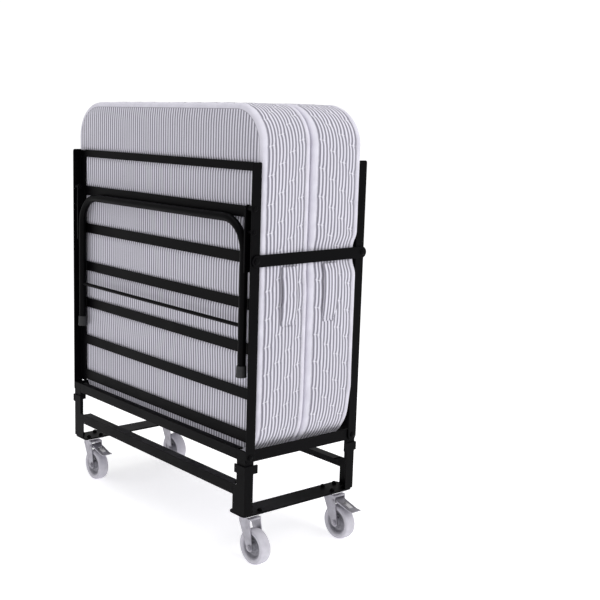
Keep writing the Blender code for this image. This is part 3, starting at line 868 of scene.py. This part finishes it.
def handle(side, y0, y1, z0, z1):
    cover = bpy.data.objects[f"{side}_mattress_cover"]
    nu, nv = 14, 46
    verts, faces, uvs = [], [], []
    under = np.array([[surface_x(cover, y0 + (y1 - y0) * i / nu, z0 + (z1 - z0) * j / nv) for i in range(nu + 1)] for j in range(nv + 1)])
    for _ in range(6):
        wide = np.pad(under, 1, mode="edge")
        under = np.maximum(under * 0.5 + 0.5 * (wide[:-2, 1:-1] + wide[2:, 1:-1] + wide[1:-1, :-2] + wide[1:-1, 2:]) / 4, under * 0.98 + 0.02 * under.max())
    for j in range(nv + 1):
        t = j / nv
        for i in range(nu + 1):
            s = i / nu
            y = y0 + (y1 - y0) * s
            z = z0 + (z1 - z0) * t
            if j == 0:
                z += 0.0022 * math.cos(s * 2 * math.pi * 3.5)
            base = min(under[j, i], LATCH_IN + 0.004)
            lift = 0.0016 + 0.0055 * math.sin(math.pi * min(max((t - 0.08) / 0.92, 0), 1)) ** 0.8
            lift += 0.0012 * math.sin(math.pi * s) - 0.0008 * math.cos(2 * math.pi * s * 2)
            verts.append((base + lift, y, z))
    for j in range(nv):
        for i in range(nu):
            a = j * (nu + 1) + i
            faces.append((a, a + 1, a + nu + 2, a + nu + 1))
            uvs.append([(verts[q][1], verts[q][2]) for q in faces[-1]])
    mesh = bpy.data.meshes.new(f"{side}_handle")
    mesh.from_pydata(verts, [], faces)
    layer = mesh.uv_layers.new(name="cloth")
    layer.data.foreach_set("uv", np.array([uv for face in uvs for uv in face], float).ravel())
    mesh.materials.append(M["panel"])
    obj = link(bpy.data.objects.new(f"{side}_handle", mesh))
    mod = obj.modifiers.new("Thickness", "SOLIDIFY")
    mod.thickness = 0.0018
    mod.offset = 1.0
    mesh.shade_smooth()
    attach(obj, body_of[f"{side}_mattress"])
    # stitches across its sewn end
    rows = []
    for r_i, zz in enumerate((0.006, 0.011)):
        n = 9
        for i in range(n):
            y = y0 + (y1 - y0) * (i + 0.5) / n
            x = surface_x(cover, y, z0 + zz) + 0.0038
            rows.append((x, y, z0 + zz + 0.0012 * (-1) ** i))
    verts, faces = [], []
    for x, y, z in rows:
        o = len(verts)
        w, h, t = 0.0017, 0.0006, 0.0006
        for dx in (0, t):
            for dy, dz in ((-w, -h), (w, -h), (w, h), (-w, h)):
                verts.append((x + dx, y + dy, z + dz))
        faces += [(o, o + 3, o + 2, o + 1), (o + 4, o + 5, o + 6, o + 7)]
        faces += [(o + a, o + b, o + b + 4, o + a + 4) for a, b in ((0, 1), (1, 2), (2, 3), (3, 0))]
    finished(f"{side}_handle_stitches", verts, faces, M["tape"], body_of[f"{side}_mattress"])
    return obj


handle("front", -0.099, -0.045, 0.662, 0.822)
handle("rear", 0.048, 0.100, 0.662, 0.822)

# ------------------------------------------------------------------ stage
floor_mesh = bpy.data.meshes.new("floor")
n = 64
floor_mesh.from_pydata([(60 * math.cos(2 * math.pi * i / n), 60 * math.sin(2 * math.pi * i / n), -0.0005) for i in range(n)], [], [tuple(range(n))])
floor_mesh.materials.append(floor_paint())
floor = link(bpy.data.objects.new("floor", floor_mesh))

world = bpy.data.worlds.new("studio")
bpy.context.scene.world = world
world.use_nodes = True
bg = world.node_tree.nodes["Background"]
bg.inputs["Color"].default_value = (1.0, 1.0, 1.0, 1.0)
bg.inputs["Strength"].default_value = 0.60
# the backdrop itself is plain white, brighter than the light that it gives
seen = world.node_tree.nodes.new("ShaderNodeLightPath")
sky = world.node_tree.nodes.new("ShaderNodeBackground")
sky.inputs["Color"].default_value = (1.0, 1.0, 1.0, 1.0)
sky.inputs["Strength"].default_value = 1.05
either = world.node_tree.nodes.new("ShaderNodeMixShader")
world.node_tree.links.new(seen.outputs["Is Camera Ray"], either.inputs["Fac"])
world.node_tree.links.new(bg.outputs[0], either.inputs[1])
world.node_tree.links.new(sky.outputs[0], either.inputs[2])
world.node_tree.links.new(either.outputs[0], world.node_tree.nodes["World Output"].inputs["Surface"])


def lamp(name, at, target, size, power):
    data = bpy.data.lights.new(name, "AREA")
    data.shape = "RECTANGLE"
    data.size, data.size_y = size
    data.energy = power
    obj = link(bpy.data.objects.new(name, data))
    obj.location = at
    obj.rotation_mode = "QUATERNION"
    obj.rotation_quaternion = (Vector(target) - Vector(at)).to_track_quat("-Z", "Y")
    return obj


lamp("key", (3.6, 0.6, 2.6), (0, 0, 0.6), (2.4, 2.4), 52)
lamp("top", (0.3, -0.2, 4.2), (0, 0, 0.5), (3.0, 3.0), 50)
lamp("front", (-1.2, -3.8, 1.6), (0, 0, 0.6), (2.5, 2.5), 3)

bpy.context.scene.view_settings.view_transform = "Standard"
bpy.context.scene.view_settings.look = "None"
bpy.context.scene.view_settings.exposure = 0.0

cam_data = bpy.data.cameras.new("camera")
cam = link(bpy.data.objects.new("camera", cam_data))
yaw, pitch, roll = -0.917585, 0.174686, 0.01796
fwd = Vector((math.sin(yaw) * math.cos(pitch), math.cos(yaw) * math.cos(pitch), -math.sin(pitch)))
right = Vector((math.cos(yaw), -math.sin(yaw), 0.0))
up = right.cross(fwd)
r2 = right * math.cos(roll) + up * math.sin(roll)
u2 = -right * math.sin(roll) + up * math.cos(roll)
rot = Matrix((r2, u2, -fwd)).transposed()
cam.matrix_world = Matrix.Translation(Vector((2.57707 + CX, -1.94031, 1.22488))) @ rot.to_4x4()
cam_data.sensor_width = 36.0
cam_data.lens = 36.0 * 1063.43 / 600.0
cam_data.shift_x = (300.0 - 215.0) / 600.0
cam_data.shift_y = 0.0
cam_data.clip_start, cam_data.clip_end = 0.05, 300.0
bpy.context.scene.camera = cam
